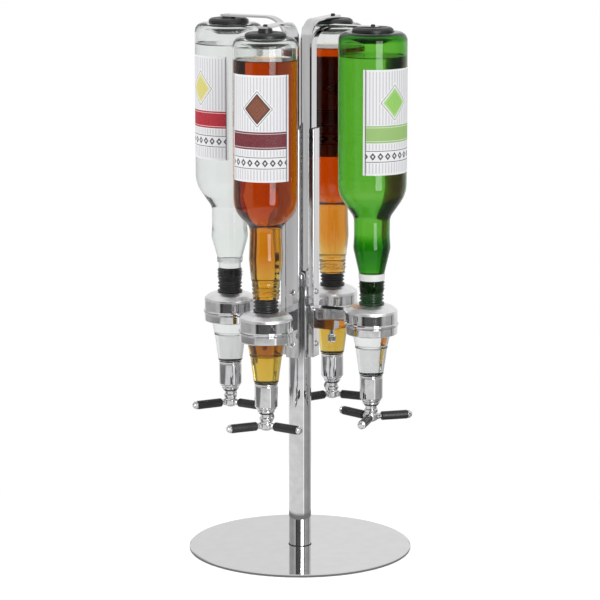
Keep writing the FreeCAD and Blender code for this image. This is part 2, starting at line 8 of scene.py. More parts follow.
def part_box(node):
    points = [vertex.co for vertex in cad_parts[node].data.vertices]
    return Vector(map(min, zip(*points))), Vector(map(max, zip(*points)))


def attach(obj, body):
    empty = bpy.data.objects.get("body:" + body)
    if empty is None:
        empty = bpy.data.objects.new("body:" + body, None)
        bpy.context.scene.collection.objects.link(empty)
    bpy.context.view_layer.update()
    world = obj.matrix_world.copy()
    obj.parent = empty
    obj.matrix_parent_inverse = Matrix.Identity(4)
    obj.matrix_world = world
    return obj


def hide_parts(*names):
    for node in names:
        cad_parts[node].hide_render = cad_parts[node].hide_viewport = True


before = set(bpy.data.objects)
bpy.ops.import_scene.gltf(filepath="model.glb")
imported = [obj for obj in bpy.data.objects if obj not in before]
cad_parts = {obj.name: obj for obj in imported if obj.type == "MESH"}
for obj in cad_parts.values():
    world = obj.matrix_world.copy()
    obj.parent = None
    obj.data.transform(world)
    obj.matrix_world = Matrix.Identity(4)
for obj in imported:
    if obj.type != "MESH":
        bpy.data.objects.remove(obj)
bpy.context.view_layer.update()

# A turning stand with four inverted bottles, each over a sprung measure.
# Outlines are drawn in millimetres, as pairs of radius and height, and scaled by MM.
# A third number rounds the corner. Heights and axes come from the frame's nodes.
# Angles are in degrees unless they go to math.
# Stations: 1 brandy, 2 green bottle, 3 amber spirit, 4 clear spirit.

MM = 0.001
STATIONS = (1, 2, 3, 4)
SLIM_STATIONS = (1, 3)
# Edges that turn by more degrees than this stay sharp
CREASE = 32
GLASS_CREASE = 40
LABEL_CREASE = 60


# Frame

def low(node, axis=2):
    """The low end of a node's box along an axis, in millimetres."""
    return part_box(node)[0][axis] / MM


def high(node, axis=2):
    """The high end of a node's box along an axis, in millimetres."""
    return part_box(node)[1][axis] / MM


def station_axis(number):
    """Where the bottle's axis stands, in metres."""
    lo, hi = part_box(f"bottle_{number}")
    return (lo.x + hi.x) / 2, (lo.y + hi.y) / 2


def at_station(number, turn=0.0):
    """The station's own frame, with X away from the column, turned about the bottle's axis."""
    x, y = station_axis(number)
    facing = math.atan2(y, x) + math.radians(turn)
    return Matrix.Translation((x, y, 0)) @ Matrix.Rotation(facing, 4, "Z")


def at_column(number):
    """The frame on the column's axis, with X towards the station."""
    x, y = station_axis(number)
    return Matrix.Rotation(math.atan2(y, x), 4, "Z")


def rail_face(number):
    """Distance from the column's axis to the outside of the rail's web."""
    return max(abs(value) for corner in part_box(f"rail_{number}") for value in corner.xy) / MM


# Shapes

def rounded(corners, step=12):
    """The outline with an arc at each corner that names a radius."""
    points = []
    last = len(corners) - 1
    for index, corner in enumerate(corners):
        here = Vector(corner[:2])
        radius = corner[2] if len(corner) > 2 else 0
        if not radius or index in (0, last):
            points.append(here)
            continue
        into = (here - Vector(corners[index - 1][:2])).normalized()
        out = (Vector(corners[index + 1][:2]) - here).normalized()
        side = math.copysign(1, into.x * out.y - into.y * out.x)
        bend = into.angle(out)
        inward = Vector((-into.y, into.x)) * side
        centre = here - into * radius * math.tan(bend / 2) + inward * radius
        steps = max(2, math.ceil(math.degrees(bend) / step))
        for number in range(steps + 1):
            angle = side * bend * number / steps
            points.append(centre + Matrix.Rotation(angle, 2) @ (inward * -radius))
    return points


def turned_mesh(name, outline, segments=96, closed=False, swell=None, crease=CREASE):
    """A surface of revolution about Z. swell(angle, height) adds to the radius, in millimetres."""
    build = bmesh.new()
    rings = []
    for radius, height in outline:
        if radius < 1e-4:
            rings.append([build.verts.new((0, 0, height * MM))])
            continue
        ring = []
        for index in range(segments):
            angle = 2 * math.pi * index / segments
            reach = radius + (swell(angle, height) if swell else 0)
            place = (reach * math.cos(angle) * MM, reach * math.sin(angle) * MM, height * MM)
            ring.append(build.verts.new(place))
        rings.append(ring)
    if closed:
        rings.append(rings[0])
    for first, second in zip(rings, rings[1:]):
        for index in range(segments):
            after = (index + 1) % segments
            if len(first) > 1 and len(second) > 1:
                corners = [first[index], first[after], second[after], second[index]]
            elif len(first) > 1:
                corners = [first[index], first[after], second[0]]
            elif len(second) > 1:
                corners = [first[0], second[after], second[index]]
            else:
                break
            build.faces.new(corners)
    return finished(name, build, crease)


def extruded_mesh(name, outline, low_end, high_end, bevel=0.0, crease=CREASE):
    """An outline in X and Y, in millimetres, carried from one Z to another, with bevelled edges."""
    build = bmesh.new()
    bottom = [build.verts.new((x * MM, y * MM, low_end * MM)) for x, y in outline]
    top = [build.verts.new((x * MM, y * MM, high_end * MM)) for x, y in outline]
    build.faces.new(list(reversed(bottom)))
    build.faces.new(top)
    count = len(outline)
    for index in range(count):
        after = (index + 1) % count
        build.faces.new([bottom[index], bottom[after], top[after], top[index]])
    if bevel:
        edges = [edge for edge in build.edges if edge.calc_face_angle(0) > math.radians(crease)]
        bmesh.ops.bevel(build, geom=edges, offset=bevel * MM, segments=3, profile=0.5,
                        affect="EDGES", clamp_overlap=True)
    return finished(name, build, crease)


def finished(name, build, crease=CREASE):
    """The mesh of a closed shape, smooth but for edges that turn by more than the crease."""
    bmesh.ops.recalc_face_normals(build, faces=build.faces)
    mesh = bpy.data.meshes.new(name)
    build.to_mesh(mesh)
    build.free()
    mesh.shade_smooth()
    mesh.set_sharp_from_angle(angle=math.radians(crease))
    return mesh


def join_meshes(name, meshes):
    """One mesh from several."""
    build = bmesh.new()
    for mesh in meshes:
        build.from_mesh(mesh)
    return finished(name, build)


def moved(mesh, matrix):
    """The same mesh, carried to its place."""
    mesh.transform(matrix)
    return mesh


def piece(name, mesh, material, body, slot, *nodes):
    """Show a mesh as a piece of the object, on its body, in place of the named nodes."""
    item = bpy.data.objects.new(name, mesh)
    bpy.context.scene.collection.objects.link(item)
    mesh.materials.append(material)
    item.modifiers.new("even_shading", "WEIGHTED_NORMAL").keep_sharp = True
    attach(item, body)
    if nodes:
        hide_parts(*nodes)


def station_piece(name, number, mesh, material, slot, *nodes):
    """A piece of the turning head, drawn about the station's axis."""
    piece(f"{name}_{number}", moved(mesh, at_station(number)), material, "head", slot, *nodes)


# Node values

def feed(socket, source):
    """Give a node's input a field, another node's output or a plain value."""
    if isinstance(source, Field):
        source = source.socket
    if isinstance(source, bpy.types.NodeSocket):
        socket.id_data.links.new(source, socket)
    else:
        socket.default_value = source


class Field:
    """A number that varies over a surface. Arithmetic on it adds Math nodes to the tree."""

    def __init__(self, tree, socket):
        self.tree = tree
        self.socket = socket

    def apply(self, operation, *others):
        node = self.tree.nodes.new("ShaderNodeMath")
        node.operation = operation
        for socket, value in zip(node.inputs, (self, *others)):
            feed(socket, value)
        return Field(self.tree, node.outputs[0])

    def __add__(self, other):
        return self.apply("ADD", other)

    def __sub__(self, other):
        return self.apply("SUBTRACT", other)

    def __mul__(self, other):
        return self.apply("MULTIPLY", other)

    def __truediv__(self, other):
        return self.apply("DIVIDE", other)

    def absolute(self):
        return self.apply("ABSOLUTE")

    def wrapped(self, period):
        """Distance to the nearest multiple of the period."""
        return self.apply("PINGPONG", period / 2)

    def below(self, limit):
        return self.apply("LESS_THAN", limit)

    def above(self, limit):
        return self.apply("GREATER_THAN", limit)

    def at_most(self, other):
        return self.apply("MINIMUM", other)

    def at_least(self, other):
        return self.apply("MAXIMUM", other)

    def spread(self, from_low, from_high, to_low, to_high, smooth=False):
        """The field carried from one range to another, and held at its ends."""
        node = self.tree.nodes.new("ShaderNodeMapRange")
        node.interpolation_type = "SMOOTHSTEP" if smooth else "LINEAR"
        for key, value in (("Value", self), ("From Min", from_low), ("From Max", from_high),
                           ("To Min", to_low), ("To Max", to_high)):
            feed(node.inputs[key], value)
        return Field(self.tree, node.outputs["Result"])


def texture_input(tree, kind, stretch=(1, 1, 1)):
    """A texture coordinate, stretched along its axes."""
    coordinates = tree.nodes.new("ShaderNodeTexCoord")
    mapping = tree.nodes.new("ShaderNodeMapping")
    feed(mapping.inputs["Scale"], stretch)
    feed(mapping.inputs["Vector"], coordinates.outputs[kind])
    return mapping.outputs["Vector"]


def axes(tree, kind):
    """The three parts of a texture coordinate."""
    node = tree.nodes.new("ShaderNodeSeparateXYZ")
    feed(node.inputs["Vector"], texture_input(tree, kind))
    return [Field(tree, socket) for socket in node.outputs]


def noise(tree, scale, detail=3.0, stretch=(1, 1, 1)):
    """Smooth random values about 0.5, with scale cells to the metre."""
    node = tree.nodes.new("ShaderNodeTexNoise")
    feed(node.inputs["Scale"], scale)
    feed(node.inputs["Detail"], detail)
    feed(node.inputs["Vector"], texture_input(tree, "Object", stretch))
    return Field(tree, node.outputs["Fac"])


def blended(tree, share, first, second):
    """A colour between two, each a colour or a socket."""
    node = tree.nodes.new("ShaderNodeMix")
    node.data_type = "RGBA"
    node.clamp_factor = True
    feed(node.inputs["Factor"], share)
    for key, colour in (("A", first), ("B", second)):
        feed(node.inputs[key], (*colour, 1) if isinstance(colour, tuple) else colour)
    return node.outputs["Result"]


def bump(tree, shader, field, depth):
    """Relief of the given depth in millimetres."""
    node = tree.nodes.new("ShaderNodeBump")
    feed(node.inputs["Distance"], depth * MM)
    feed(node.inputs["Height"], field)
    feed(shader.inputs["Normal"], node.outputs["Normal"])


def new_material(name):
    material = bpy.data.materials.new(name)
    material.use_nodes = True
    tree = material.node_tree
    return material, tree, tree.nodes["Principled BSDF"]


def metal(name, dark, light, smooth, rough, relief=0.0, grain=90, stretch=(1, 1, 1)):
    """Polished metal with slight clouding, and with streaks where it is stretched."""
    material, tree, shader = new_material(name)
    cloud = noise(tree, grain, 4, stretch)
    wear = noise(tree, grain * 2.3, 5, stretch)
    feed(shader.inputs["Metallic"], 1)
    feed(shader.inputs["Base Color"], blended(tree, cloud.spread(0.35, 0.65, 0, 1), dark, light))
    feed(shader.inputs["Roughness"], wear.spread(0.35, 0.7, smooth, rough))
    if relief:
        bump(tree, shader, noise(tree, grain * 6, 2, stretch), relief)
    return material


def moulded(name, dark, light, smooth, rough, relief, grain=700):
    """Rubber or plastic with a fine moulded grain."""
    material, tree, shader = new_material(name)
    cloud = noise(tree, 60, 3)
    feed(shader.inputs["Base Color"], blended(tree, cloud.spread(0.3, 0.7, 0, 1), dark, light))
    feed(shader.inputs["Roughness"], noise(tree, 160, 3).spread(0.3, 0.7, smooth, rough))
    bump(tree, shader, noise(tree, grain, 2), relief)
    return material


def clear(name, index, absorbed, waves=0.0, rough=0.0, facing=1.0):
    """Glass, clear plastic or spirit.

    absorbed is what a metre takes of red, green and blue. facing is the share of the
    mirroring that is left where the surface is seen face on.
    """
    material, tree, shader = new_material(name)
    feed(shader.inputs["Transmission Weight"], 1)
    feed(shader.inputs["IOR"], index)
    feed(shader.inputs["Specular Tint"], (facing, facing, facing, 1))
    shade = noise(tree, 30, 2).spread(0.3, 0.7, 0, 1)
    feed(shader.inputs["Base Color"], blended(tree, shade, (0.993, 0.993, 0.993), (1, 1, 1)))
    feed(shader.inputs["Roughness"], noise(tree, 120, 2).spread(0.4, 0.7, rough, rough + 0.015))
    if waves:
        bump(tree, shader, noise(tree, 55, 2, (1, 1, 0.35)), waves)
    strongest = max(absorbed)
    volume = tree.nodes.new("ShaderNodeVolumeAbsorption")
    feed(volume.inputs["Density"], strongest)
    feed(volume.inputs["Color"], (*(1 - value / strongest for value in absorbed), 1))
    feed(tree.nodes["Material Output"].inputs["Volume"], volume.outputs["Volume"])
    return material


def milky(name, dark, light, solid):
    """Thin white plastic, of which only the solid share hides what is behind it."""
    material, tree, shader = new_material(name)
    cloud = noise(tree, 80, 3)
    feed(shader.inputs["IOR"], 1.4)
    feed(shader.inputs["Base Color"], blended(tree, cloud.spread(0.3, 0.7, 0, 1), dark, light))
    feed(shader.inputs["Alpha"], cloud.spread(0.3, 0.7, solid * 0.9, solid))
    feed(shader.inputs["Roughness"], noise(tree, 160, 2).spread(0.3, 0.7, 0.5, 0.65))
    return material


# Labels

LABEL_HEIGHT = 114.6
LABEL_WIDTH = 72
LABEL_THICKNESS = 0.12
# From the bottle's rim to the label's upper edge
LABEL_DROP = {1: 37.5, 2: 37.5, 3: 40, 4: 34.5}
# The label's middle, turned about the bottle from the side away from the column
LABEL_TURN = {1: 11, 2: -27.5, 3: 6, 4: 61}
# From the label's upper edge to the middle of each part of the print
MOTIF_DROP = 36
BAND_DROP = 70
BORDER_DROP = 94
STRIPE_PITCH = 3.6
BORDER_PITCH = 8.4
PAPER = (0.95, 0.95, 0.96)
BLACK_INK = (0.05, 0.05, 0.07)
GREY_INK = (0.64, 0.65, 0.69)


def label_material(name, band_colour, motif_colour, motif_rim):
    """Printed paper: pinstripes, a coloured band, a lozenge motif and a chequered border."""
    material, tree, shader = new_material(name)
    across, along, _ = axes(tree, "UV")

    def inside(field, first, second):
        return field.above(first) * field.below(second)

    colour = blended(tree, across.wrapped(STRIPE_PITCH).below(0.7) * 0.9, PAPER, GREY_INK)
    motif = across.absolute() * 1.15 + (along - MOTIF_DROP).absolute()
    row = (along - BORDER_DROP).absolute()
    lozenge = across.wrapped(BORDER_PITCH) + row * 0.8
    band = (along - BAND_DROP).absolute()
    half_width, half_height = LABEL_WIDTH / 2, LABEL_HEIGHT / 2
    edge = (across.absolute() - half_width).at_least(
        (along - half_height).absolute() - half_height)
    side = inside(across.absolute(), half_width - 3.2, half_width - 2.2)
    # Each layer is printed over the ones before it
    for share, ink in (
            (motif.below(21.5), PAPER),
            (inside(motif, 18.6, 19.4), BLACK_INK),
            (motif.below(16.5), motif_rim),
            (motif.below(14.2), motif_colour),
            (motif.wrapped(4.2).below(0.5) * motif.below(14), motif_rim),
            (row.below(7.2), PAPER),
            (lozenge.below(3.3) * row.below(5.2), BLACK_INK),
            (lozenge.below(1.4) * row.below(5.2), PAPER),
            (inside(row, 5.6, 6.3), BLACK_INK),
            (band.below(10.4), PAPER),
            (band.below(9.4), band_colour),
            (inside(band, 7.2, 7.7), PAPER),
            (edge.above(-2.2), PAPER),
            (side * 0.9, BLACK_INK)):
        colour = blended(tree, share, colour, ink)
    fibre = noise(tree, 900, 3)
    colour = blended(tree, fibre.spread(0.3, 0.8, 0, 0.12), colour, GREY_INK)
    feed(shader.inputs["Base Color"], colour)
    feed(shader.inputs["Transmission Weight"], 0.12)
    feed(shader.inputs["IOR"], 1.3)
    feed(shader.inputs["Roughness"], noise(tree, 300, 2).spread(0.3, 0.7, 0.55, 0.7))
    bump(tree, shader, fibre, 0.02)
    return material


def label_mesh(name, radius, top):
    """A thin curved sheet with its two faces, centred on +X. Its UV map is in millimetres."""
    columns, rows = 48, 12
    half_angle = LABEL_WIDTH / 2 / radius
    build = bmesh.new()
    uv = build.loops.layers.uv.new("LabelPlace")
    spots = {}
    layers = []
    for skin in (radius, radius + LABEL_THICKNESS):
        layer = []
        for column in range(columns + 1):
            angle = half_angle * (2 * column / columns - 1)
            line = []
            for row in range(rows + 1):
                drop = LABEL_HEIGHT * row / rows
                vertex = build.verts.new((skin * math.cos(angle) * MM,
                                          skin * math.sin(angle) * MM, (top - drop) * MM))
                spots[vertex] = (radius * angle, drop)
                line.append(vertex)
            layer.append(line)
        layers.append(layer)
    for layer in layers:
        for column in range(columns):
            for row in range(rows):
                build.faces.new([layer[column][row], layer[column + 1][row],
                                 layer[column + 1][row + 1], layer[column][row + 1]])
    inner, outer = layers
    rim = [(column, 0) for column in range(columns)]
    rim += [(columns, row) for row in range(rows)]
    rim += [(column, rows) for column in range(columns, 0, -1)]
    rim += [(0, row) for row in range(rows, 0, -1)]
    for (c1, r1), (c2, r2) in zip(rim, rim[1:] + rim[:1]):
        build.faces.new([inner[c1][r1], inner[c2][r2], outer[c2][r2], outer[c1][r1]])
    for face in build.faces:
        for loop in face.loops:
            loop[uv].uv = spots[loop.vert]
    return finished(name, build, LABEL_CREASE)


# Materials

CHROME_DARK = (0.66, 0.66, 0.67)
CHROME_LIGHT = (0.76, 0.76, 0.77)
base_steel = metal("base_steel_look", (0.73, 0.73, 0.735), (0.76, 0.76, 0.765), 0.05, 0.09,
                   grain=60)
column_chrome = metal("column_chrome_look", CHROME_DARK, CHROME_LIGHT, 0.02, 0.06)
rail_chrome = metal("rail_chrome_look", CHROME_DARK, (0.80, 0.80, 0.81), 0.06, 0.16,
                    relief=0.002, grain=120, stretch=(1, 1, 0.05))
arm_chrome = metal("arm_chrome_look", CHROME_DARK, CHROME_LIGHT, 0.04, 0.10, relief=0.002,
                   stretch=(1, 1, 0.1))
# The domes' rougher satin finish is real; their much lighter colour is painted light from above
satin_chrome_painted_light = metal("satin_chrome_painted_light_look", (0.88, 0.88, 0.89), (0.95, 0.95, 0.96), 0.32, 0.42,
                     relief=0.004, grain=140)
cast_chrome = metal("cast_chrome_look", CHROME_DARK, CHROME_LIGHT, 0.03, 0.09, relief=0.004,
                    grain=140)
screw_chrome = metal("screw_chrome_look", (0.60, 0.60, 0.61), (0.82, 0.82, 0.83), 0.08, 0.2,
                     relief=0.003)
black_rubber = moulded("black_rubber_look", (0.012, 0.012, 0.013), (0.028, 0.028, 0.030),
                       0.30, 0.5, relief=0.03)
green_rubber = moulded("green_rubber_look", (0.006, 0.030, 0.008), (0.012, 0.055, 0.014),
                       0.15, 0.3, relief=0.03)
sleeve_black = moulded("sleeve_black_look", (0.010, 0.010, 0.011), (0.020, 0.020, 0.022),
                       0.25, 0.42, relief=0.02)
# Black for the pad studs, and painted shade for the screw recesses and the column's foot
black_and_painted_shade = moulded("black_and_painted_shade_look", (0.010, 0.010, 0.010), (0.020, 0.020, 0.020), 0.6, 0.8,
                     relief=0.02)
nylon_white = moulded("nylon_white_look", (0.72, 0.73, 0.72), (0.82, 0.83, 0.82), 0.35, 0.5,
                      relief=0.01)
clear_glass = clear("clear_glass_look", 1.45, (7, 2.6, 5.6), waves=0.05, facing=0.6)
green_glass = clear("green_glass_look", 1.45, (440, 150, 700), waves=0.05, facing=0.6)
clear_plastic = clear("clear_plastic_look", 1.45, (9, 4, 7), waves=0.02, facing=0.6)
frosted_plastic = clear("frosted_plastic_look", 1.45, (8, 5, 8), rough=0.3)
inner_plastic = milky("inner_plastic_look", (0.96, 0.97, 0.95), (0.98, 0.98, 0.97), 0.15)
brandy = clear("brandy_look", 1.36, (11, 47, 170), facing=0)
brandy_deep = clear("brandy_deep_look", 1.36, (26, 62, 210), facing=0)
brandy_shallow = clear("brandy_shallow_look", 1.36, (2, 20, 120), facing=0)
amber = clear("amber_look", 1.36, (9, 44, 130), facing=0)
amber_shallow = clear("amber_shallow_look", 1.36, (2, 20, 105), facing=0)
white_spirit = clear("white_spirit_look", 1.36, (0.5, 0.25, 0.4), facing=0)
BOTTLE_GLASS = {1: clear_glass, 2: green_glass, 3: clear_glass, 4: clear_glass}
GLASS_SLOT = {1: "bottle_clear", 2: "bottle_green", 3: "bottle_clear", 4: "bottle_clear"}
SPIRIT = {1: brandy, 2: white_spirit, 3: amber, 4: white_spirit}
# The measure's spirit over the valve, and round the tube that displaces most of it
DEEP_SPIRIT = {1: brandy_deep, 2: white_spirit, 3: amber, 4: white_spirit}
SHALLOW_SPIRIT = {1: brandy_shallow, 2: white_spirit, 3: amber_shallow, 4: white_spirit}
SPIRIT_SLOT = {1: "spirit_brandy", 2: "spirit_clear", 3: "spirit_amber", 4: "spirit_clear"}
STOPPER = {1: black_rubber, 2: green_rubber, 3: black_rubber, 4: black_rubber}
# Colours of the band, the motif and its rim
LABELS = {
    1: label_material("label_red_brown", (0.19, 0.015, 0.025), (0.30, 0.09, 0.035),
                      (0.10, 0.03, 0.02)),
    2: label_material("label_green", (0.36, 0.60, 0.18), (0.28, 0.66, 0.08),
                      (0.55, 0.80, 0.35)),
    3: label_material("label_amber", (0.45, 0.20, 0.03), (0.60, 0.33, 0.08),
                      (0.30, 0.12, 0.03)),
    4: label_material("label_red_yellow", (0.52, 0.012, 0.03), (0.80, 0.72, 0.16),
                      (0.86, 0.82, 0.45)),
}


# Carried-over nodes

def dress_node(node, material):
    """Give a CAD node that stays in view its look."""
    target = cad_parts[node]
    target.data.materials.clear()
    target.data.materials.append(material)


dress_node("base_plate", base_steel)
dress_node("column", column_chrome)
dress_node("head_hub", column_chrome)
dress_node("base_screw", screw_chrome)
dress_node("thrust_washer", screw_chrome)
dress_node("glide_strips", nylon_white)
for number in STATIONS:
    dress_node(f"rail_{number}", rail_chrome)
    dress_node(f"arm_{number}", arm_chrome)


# Bottles

GLASS_WALL = 2.2
BORE = 10.8
# From the bottle's rim down to the spirit, and from its mouth up to the top of the stopper
SPIRIT_DROP = {1: 24.6, 2: 26.5, 3: 27, 4: 23.5}
PLUG_HEIGHT = {1: 1.2, 2: 13.6, 3: 1.2, 4: 14.5}
SPIRIT_OVERLAP = 0.08
# The glass leaves the label this much of the CAD bottle's radius
LABEL_ROOM = 0.2
# The plastic ring left on a neck by its closure: its foot and top above the mouth
COLLAR = {2: (13.6, 21.3), 4: (20.8, 26.3)}


def thread(start, pitch, height, turns):
    """A swell of the given height that winds a rounded thread up a bottle's finish."""
    def swell(angle, level):
        climb = (level - start) / pitch - angle / (2 * math.pi)
        if not 0 <= climb <= turns:
            return 0
        phase = climb - math.floor(climb)
        return height * max(0.0, math.cos(2 * math.pi * (phase - 0.5))) ** 1.5
    return swell


def ladder(first, last, step):
    """Even heights from the first to the last."""
    count = max(1, round((last - first) / step))
    return [first + (last - first) * index / count for index in range(count + 1)]


def neck_outline(number, mouth):
    """The body's radius, then the outside from the mouth up: the finish and the shoulder."""
    body = (high(f"bottle_{number}", 0) - low(f"bottle_{number}", 0)) / 2 - LABEL_ROOM
    if number in SLIM_STATIONS:
        finish = [(14.4, level) for level in ladder(mouth + 0.8, mouth + 13.4, 0.5)]
        return body, finish, [
            (15.2, mouth + 14.4, 0.6),
            (15.2, mouth + 19.6, 0.4),
            (14.7, mouth + 20.2, 0.3),
            (16.0, mouth + 21.0, 0.6),
            (18.4, mouth + 44, 30),
            (17.2, mouth + 80.6, 14),
            (body, mouth + 97.4, 30),
        ]
    finish = [(13.4, level) for level in ladder(mouth + 0.8, mouth + 13, 0.5)]
    bead = COLLAR[number][1] + 0.6
    return body, finish, [
        (12.6, mouth + 13.8, 0.5),
        (12.6, mouth + bead - 0.4, 0.5),
        (14.2, mouth + bead, 0.5),
        (20.6, mouth + 49.5, 14),
        (19.6, mouth + 62.3, 40),
        (19.8, mouth + 83.7, 14),
        (body, mouth + 109.8, 34),
    ]


def punt(rim):
    """The hollow of the bottle's base, from its rim to its apex."""
    return [(24.5, rim, 1), (22.4, rim - 2.2, 2), (12, rim - 7, 20), (0, rim - 8)]


def inner_outline(number, mouth, rim):
    """The inside, from the base down to the mouth."""
    body, _, shoulder = neck_outline(number, mouth)
    waist, neck, shoulder_top = shoulder[-3:]
    wall = GLASS_WALL
    return rounded([
        (0, rim - 11.2),
        (13, rim - 10, 18),
        (24.4, rim - 4.0, 3),
        (body - wall, rim - 3.2, 7.4),
        (body - wall, shoulder_top[1] + 1, 26),
        (neck[0] - wall, neck[1] + 1, 16),
        (waist[0] - wall, waist[1], 60),
        (BORE + 0.6, mouth + 28, 10),
        (BORE, mouth + 18),
        (BORE, mouth),
    ])


def make_bottle(number):
    """The glass with the thread on its finish, the spirit in it and its label."""
    node = f"bottle_{number}"
    mouth, rim = low(node), high(node)
    body, finish, shoulder = neck_outline(number, mouth)
    outside = [(BORE, mouth), (finish[0][0] - 0.6, mouth), *finish]
    outside += rounded([finish[-1], *shoulder, (body, rim, 9.5), *punt(rim)])[1:]
    inside = inner_outline(number, mouth, rim)
    slim = number in SLIM_STATIONS
    wind = thread(mouth + 1.5, 4.2, 1.0, 2.9) if slim else thread(mouth + 2, 3.6, 1.0, 3)
    finish_top = finish[-1][1]

    def swell(angle, level):
        return wind(angle, level) if level < finish_top else 0

    mesh = turned_mesh(node, outside + inside[:-1], closed=True, swell=swell, crease=GLASS_CREASE)
    station_piece("glass", number, mesh, BOTTLE_GLASS[number], GLASS_SLOT[number], node)
    make_spirit(number, mouth, rim)
    label = label_mesh(f"label_{number}", body + 0.05, rim - LABEL_DROP[number])
    label = moved(label, at_station(number, LABEL_TURN[number]))
    piece(f"label_{number}", label, LABELS[number], "head", "label_paper")


def make_spirit(number, mouth, rim):
    """The spirit, a little into the glass, with a meniscus at its level."""
    level = rim - SPIRIT_DROP[number]
    foot = mouth + PLUG_HEIGHT[number]
    overlap = Vector((SPIRIT_OVERLAP, 0))
    wet = [point + overlap for point in inner_outline(number, mouth, rim)
           if foot < point.y < level - 0.5]
    edge = wet[0].x
    surface = [(0, level), (edge - 3, level), (edge - 1.2, level + 0.3), (edge, level + 1.3)]
    points = surface + wet + [(BORE + SPIRIT_OVERLAP, foot), (0, foot)]
    station_piece("spirit", number, turned_mesh("spirit", points, crease=GLASS_CREASE),
                  SPIRIT[number], SPIRIT_SLOT[number])


def make_neck_ring(number, material):
    """The plastic ring left on the neck by the closure."""
    mouth = low(f"bottle_{number}")
    foot, top = (mouth + rise for rise in COLLAR[number])
    points = rounded([(12.7, foot), (14.2, foot, 0.5), (14.6, top, 0.7), (12.7, top),
                      (12.7, foot + 2)])
    mesh = turned_mesh("neck_ring", points, 72, closed=True)
    station_piece("neck_ring", number, mesh, material, "nylon_white")


for number in STATIONS:
    make_bottle(number)
make_neck_ring(2, nylon_white)
make_neck_ring(4, frosted_plastic)


# Pads and arm studs

STUD_RISE = 2.2
# The highest bar is the top of the model's box
STUD_LIMIT = high("arm_4")


def make_pad(number):
    """The rubber pad in the hollow of a bottle's base, and the stud that holds it to its bar."""
    node, arm = f"pad_{number}", f"arm_{number}"
    foot, top = low(node), high(node)
    rim = high(f"bottle_{number}")
    radius = (high(node, 0) - low(node, 0)) / 2
    knob = 7.4
    pad = turned_mesh("pad", rounded([
        (0, foot),
        (13.5, foot, 6),
        (radius - 2.0, rim - 2.5, 1.5),
        (radius, rim - 0.6, 1.2),
        (radius, rim + 2.9, 1.6),
        (radius - 2.6, rim + 4.8, 2.2),
        (15, rim + 5.0, 6),
        (knob + 1, rim + 3.6, 1),
        (knob, top - 0.4, 0.6),
        (knob - 1, top, 0.4),
        (0, top),
    ]), 72)
    piece(f"rubber_pad_{number}", moved(pad, at_station(number)), black_rubber, arm, "pad_rubber",
          node)
    face = high(arm) - 0.4
    stud_top = min(face + STUD_RISE, STUD_LIMIT)
    stud = turned_mesh("stud", rounded([
        (0, face - 0.6),
        (2.4, face - 0.6),
        (2.4, stud_top - 0.5, 0.3),
        (1.5, stud_top, 0.4),
        (0, stud_top),
    ]), 32)
    piece(f"pad_stud_{number}", moved(stud, at_station(number)), black_and_painted_shade, arm, "screw_chrome")


for number in STATIONS:
    make_pad(number)


# Column

def make_pivot_nut():
    """The closed nut on the pivot stud: a hexagon under a dome."""
    foot, top = low("pivot_nut"), high("pivot_nut")
    flats = (high("pivot_nut", 1) - low("pivot_nut", 1)) / 2
    corner = flats / math.cos(math.radians(30))
    turns = [math.radians(60 * side) for side in range(6)]
    hexagon = [(corner * math.cos(turn), corner * math.sin(turn)) for turn in turns]
    body = extruded_mesh("hexagon", hexagon, foot, foot + 7.5, 0.5, crease=20)
    dome = turned_mesh("dome", rounded([(0, foot + 6), (5.8, foot + 6), (5.8, top, 5.4), (0, top)]),
                       48)
    mesh = join_meshes("pivot_nut", [body, dome])
    piece("acorn_nut", mesh, cast_chrome, "root", "screw_chrome", "pivot_nut")


def make_foot_shadow_ring():
    """A thin black ring where the column stands on the plate: painted contact shadow."""
    foot = high("base_plate")
    radius = high("column", 0)
    points = rounded([(radius - 0.5, foot), (radius + 0.5, foot), (radius + 0.5, foot + 0.7, 0.3),
                      (radius - 0.5, foot + 0.9)])
    piece("foot_shadow_ring", turned_mesh("shadow_ring", points, closed=True), black_and_painted_shade, "root",
          "pad_rubber")


make_pivot_nut()
make_foot_shadow_ring()


# Rail screws

RAIL_SCREW_HEIGHTS = (237.2, 296.2)
RAIL_SCREW_RADIUS = 3.6


def make_rail_screws(number):
    """Pan heads on the rail's web, each with a crossed recess drawn as black bars of painted shade.
    """
    heads, recess_shade_bars = [], []
    for height in RAIL_SCREW_HEIGHTS:
        lie = (at_column(number) @ Matrix.Translation((rail_face(number) * MM, 0, height * MM))
               @ Matrix.Rotation(math.radians(90), 4, "Y"))
        outline = rounded([(0, 0), (RAIL_SCREW_RADIUS, 0), (RAIL_SCREW_RADIUS, 1.2, 0.8),
                           (1.6, 2.0, 1.2), (0, 2.0)])
        heads.append(moved(turned_mesh("head", outline, 40), lie))
        # The recess is not cut: black bars at the head's top are painted shade for it
        for turn in (35, 125):
            bar = extruded_mesh("bar", [(-1.9, -0.35), (1.9, -0.35), (1.9, 0.35), (-1.9, 0.35)],
                                1.6, 2.03)
            recess_shade_bars.append(moved(bar, lie @ Matrix.Rotation(math.radians(turn), 4, "Z")))
    piece(f"rail_screws_{number}", join_meshes("heads", heads), screw_chrome, "head",
          "screw_chrome")
    piece(f"screw_recess_shade_{number}", join_meshes("recess_shade_bars", recess_shade_bars), black_and_painted_shade, "head",
          "screw_chrome")


for number in STATIONS:
    make_rail_screws(number)


# Measures

STOPPER_RIBS = 3
RING_RADIUS = 28.7
# The ring's top slopes down to its wall, and its satin dome, lightened with painted light from
# above, ends below that
RING_SLOPE = 7
DOME_SEAM = 2.4
ARM_WIDTH = 14.4
ARM_DROP = 3.1
ARM_END = -20
BLOCK_REACH = 24.1
LOCK_RING_RADIUS = 28.8
MEASURE_WALL = 1.7
LINE_DROP = 15
BARREL_RADIUS = 12.7
BARREL_BORE = 8.1
CLAMP_SCREW_RADIUS = 4.75


